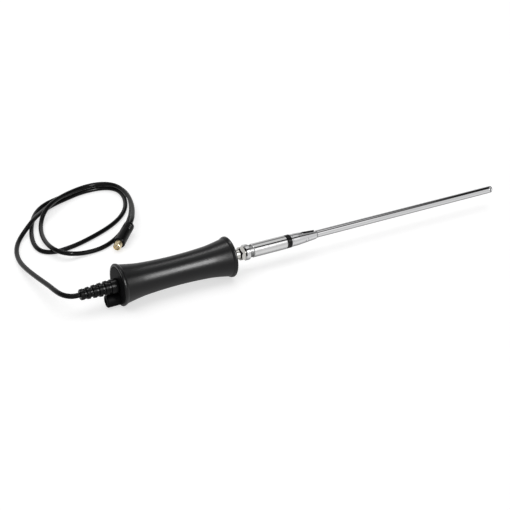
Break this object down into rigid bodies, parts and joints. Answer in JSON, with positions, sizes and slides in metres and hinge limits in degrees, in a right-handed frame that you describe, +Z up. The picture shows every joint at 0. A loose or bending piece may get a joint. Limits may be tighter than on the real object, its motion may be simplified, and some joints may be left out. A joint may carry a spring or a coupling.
{
  "type": "oscilloscope probe",
  "caption": "Whip probe with a waisted black hand grip, bayonet-coupled telescopic chrome mast on a folding elbow, ribbed bend relief and a looped coaxial cord with a gold plug.",
  "frame": {"origin": "under the middle of the probe (grip, jack and mast, without the free cord), on the surface that it lies on", "axes": "+X along the probe from the bend relief to the mast's tip, +Z up; the mast folds up towards +Z and the cord lies on the +Y side"},
  "size_m": [0.4783, 0.2649, 0.0385],
  "materials": {
    "grip_black": "satin moulded",
    "cap_metal": "die-cast, black enamel",
    "boot_black": "soft moulded",
    "core_steel": "plain drawn tube",
    "trimmer_white": "ceramic-filled",
    "trimmer_steel": "blackened",
    "cord_black": "soft jacket",
    "tinned": "tinned",
    "board_green": "solder mask",
    "carrier_grey": "moulded",
    "chip_black": "moulded",
    "resistor_blue": "lacquered",
    "capacitor_tan": "dipped",
    "lead_red": "insulation",
    "nickel": "nickel plated",
    "ptfe": "turned",
    "gold": "gold plated",
    "chrome": "polished",
    "gasket_red": "moulded",
    "spring_steel": "plain",
    "ring_black": "turned",
    "rivet_steel": "plain",
    "tip_chrome": "polished",
    "plug_black": "moulded",
    "spring_bronze": "plain"
  },
  "bodies": {
    "handle": {"grip_sleeve": "grip_black", "core_tube": "core_steel", "rear_cap": "cap_metal", "trimmer_body": "trimmer_white", "nose_cap": "cap_metal", "boot": "boot_black", "cord_tail": "cord_black", "cord_ferrule": "tinned", "circuit_board": "board_green", "board_carriers": "carrier_grey", "shield_can": "tinned", "amplifier_chip": "chip_black", "input_resistor": "resistor_blue", "capacitors": "capacitor_tan", "signal_lead": "lead_red", "cord_core_lead": "lead_red", "jack_body": "nickel", "jack_insulator": "ptfe", "jack_contact": "gold", "jack_nut": "nickel", "jack_washer": "nickel", "cord": "cord_black", "cord_plug_body": "plug_black", "gold_sleeve": "gold", "gold_insulator": "ptfe", "gold_pin": "gold"},
    "trimmer_screw": {"trimmer_screw": "trimmer_steel"},
    "mast_plug": {"plug_shell": "nickel", "plug_gasket": "gasket_red", "spring_washer": "spring_steel", "plug_barrel": "nickel", "plug_insulator": "ptfe", "plug_pin": "gold", "insulator_ring": "ring_black", "swivel_post": "chrome"},
    "bayonet_ring": {"bayonet_ring": "chrome"},
    "elbow": {"elbow_fork": "chrome", "elbow_rivet": "rivet_steel"},
    "mast": {"mast_foot": "chrome", "mast_tube_1": "chrome"},
    "mast_section_2": {"mast_tube_2": "chrome", "spring_sleeve_2": "spring_bronze"},
    "mast_section_3": {"mast_tube_3": "chrome", "spring_sleeve_3": "spring_bronze"},
    "mast_section_4": {"mast_tube_4": "chrome", "spring_sleeve_4": "spring_bronze"},
    "mast_section_5": {"mast_rod": "chrome", "spring_sleeve_5": "spring_bronze", "tip_button": "tip_chrome"}
  },
  "joints": [
    {"name": "trimmer_turn", "type": "hinge", "parent": "handle", "child": "trimmer_screw", "pos_m": [-0.2, 0, 0.0061], "axis": [-1, 0, 0], "range_deg": [0, 270]},
    {"name": "plug_travel", "type": "slide", "parent": "handle", "child": "mast_plug", "axis": [1, 0, 0], "range_m": [0, 0.0024]},
    {"name": "bayonet_turn", "type": "hinge", "parent": "mast_plug", "child": "bayonet_ring", "pos_m": [-0.043, 0, 0.01925], "axis": [1, 0, 0], "range_deg": [0, 60]},
    {"name": "elbow_swivel", "type": "hinge", "parent": "mast_plug", "child": "elbow", "pos_m": [-0.013, 0, 0.01925], "axis": [1, 0, 0], "continuous": true},
    {"name": "mast_tilt", "type": "hinge", "parent": "elbow", "child": "mast", "pos_m": [-0.0015, 0, 0.01925], "axis": [0, -1, 0], "range_deg": [0, 90]},
    {"name": "section_2_slide", "type": "slide", "parent": "mast", "child": "mast_section_2", "axis": [1, 0, 0], "range_m": [0, 0.19]},
    {"name": "section_3_slide", "type": "slide", "parent": "mast_section_2", "child": "mast_section_3", "axis": [1, 0, 0], "range_m": [0, 0.189]},
    {"name": "section_4_slide", "type": "slide", "parent": "mast_section_3", "child": "mast_section_4", "axis": [1, 0, 0], "range_m": [0, 0.188]},
    {"name": "section_5_slide", "type": "slide", "parent": "mast_section_4", "child": "mast_section_5", "axis": [1, 0, 0], "range_m": [0, 0.187]}
  ],
  "couplings": [
    {"joint": "bayonet_turn", "follows": "plug_travel", "rad_per_m": 436.33}
  ]
}
